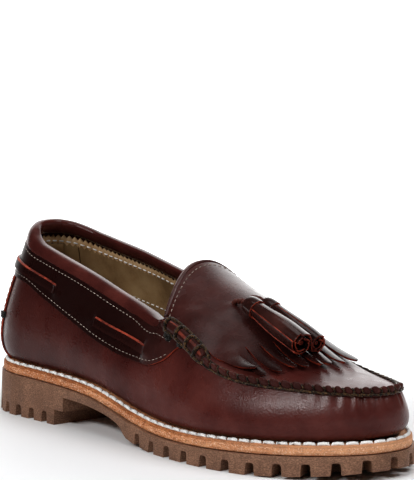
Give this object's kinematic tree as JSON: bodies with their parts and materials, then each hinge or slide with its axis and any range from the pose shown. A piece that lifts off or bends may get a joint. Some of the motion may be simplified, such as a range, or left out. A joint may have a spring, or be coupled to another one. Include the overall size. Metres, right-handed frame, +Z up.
{
  "type": "tassel loafer",
  "caption": "Right-foot leather tassel loafer with a fringed kiltie, a laced collar band, a hand-sewn apron seam and a lugged rubber sole.",
  "frame": {"origin": "bottom centre of the bounding box, on the plane the shoe stands on", "axes": "+X towards the toe, +Z up, -Y towards the outer (lateral) side of the foot"},
  "size_m": [0.3048, 0.1092, 0.1063],
  "materials": {
    "burgundy_leather": "polished, reddish brown",
    "dark_leather": "polished, very dark brown",
    "lace_leather": "waxed, dark brown with raw red edges",
    "tan_leather": "natural tan, matt edge",
    "lining_leather": "matt olive tan",
    "gum_rubber": "matt grey-brown",
    "waxed_thread": "waxed, olive brown",
    "white_thread": "matt off-white"
  },
  "bodies": {
    "root": {"upper": "burgundy_leather", "collar_roll": "burgundy_leather", "lace_band": "dark_leather", "backstay": "burgundy_leather", "lace_rear": "lace_leather", "lace_lateral": "lace_leather", "lace_medial": "lace_leather", "apron_seam": "dark_leather", "kiltie": "burgundy_leather", "tassel_cap_lateral": "dark_leather", "tassel_cap_medial": "dark_leather", "tassel_skirt_lateral": "lace_leather", "tassel_skirt_medial": "lace_leather", "tassel_tie_lateral": "lace_leather", "tassel_tie_medial": "lace_leather", "insole": "lining_leather", "midsole": "tan_leather", "outsole": "gum_rubber"}
  },
  "joints": []
}
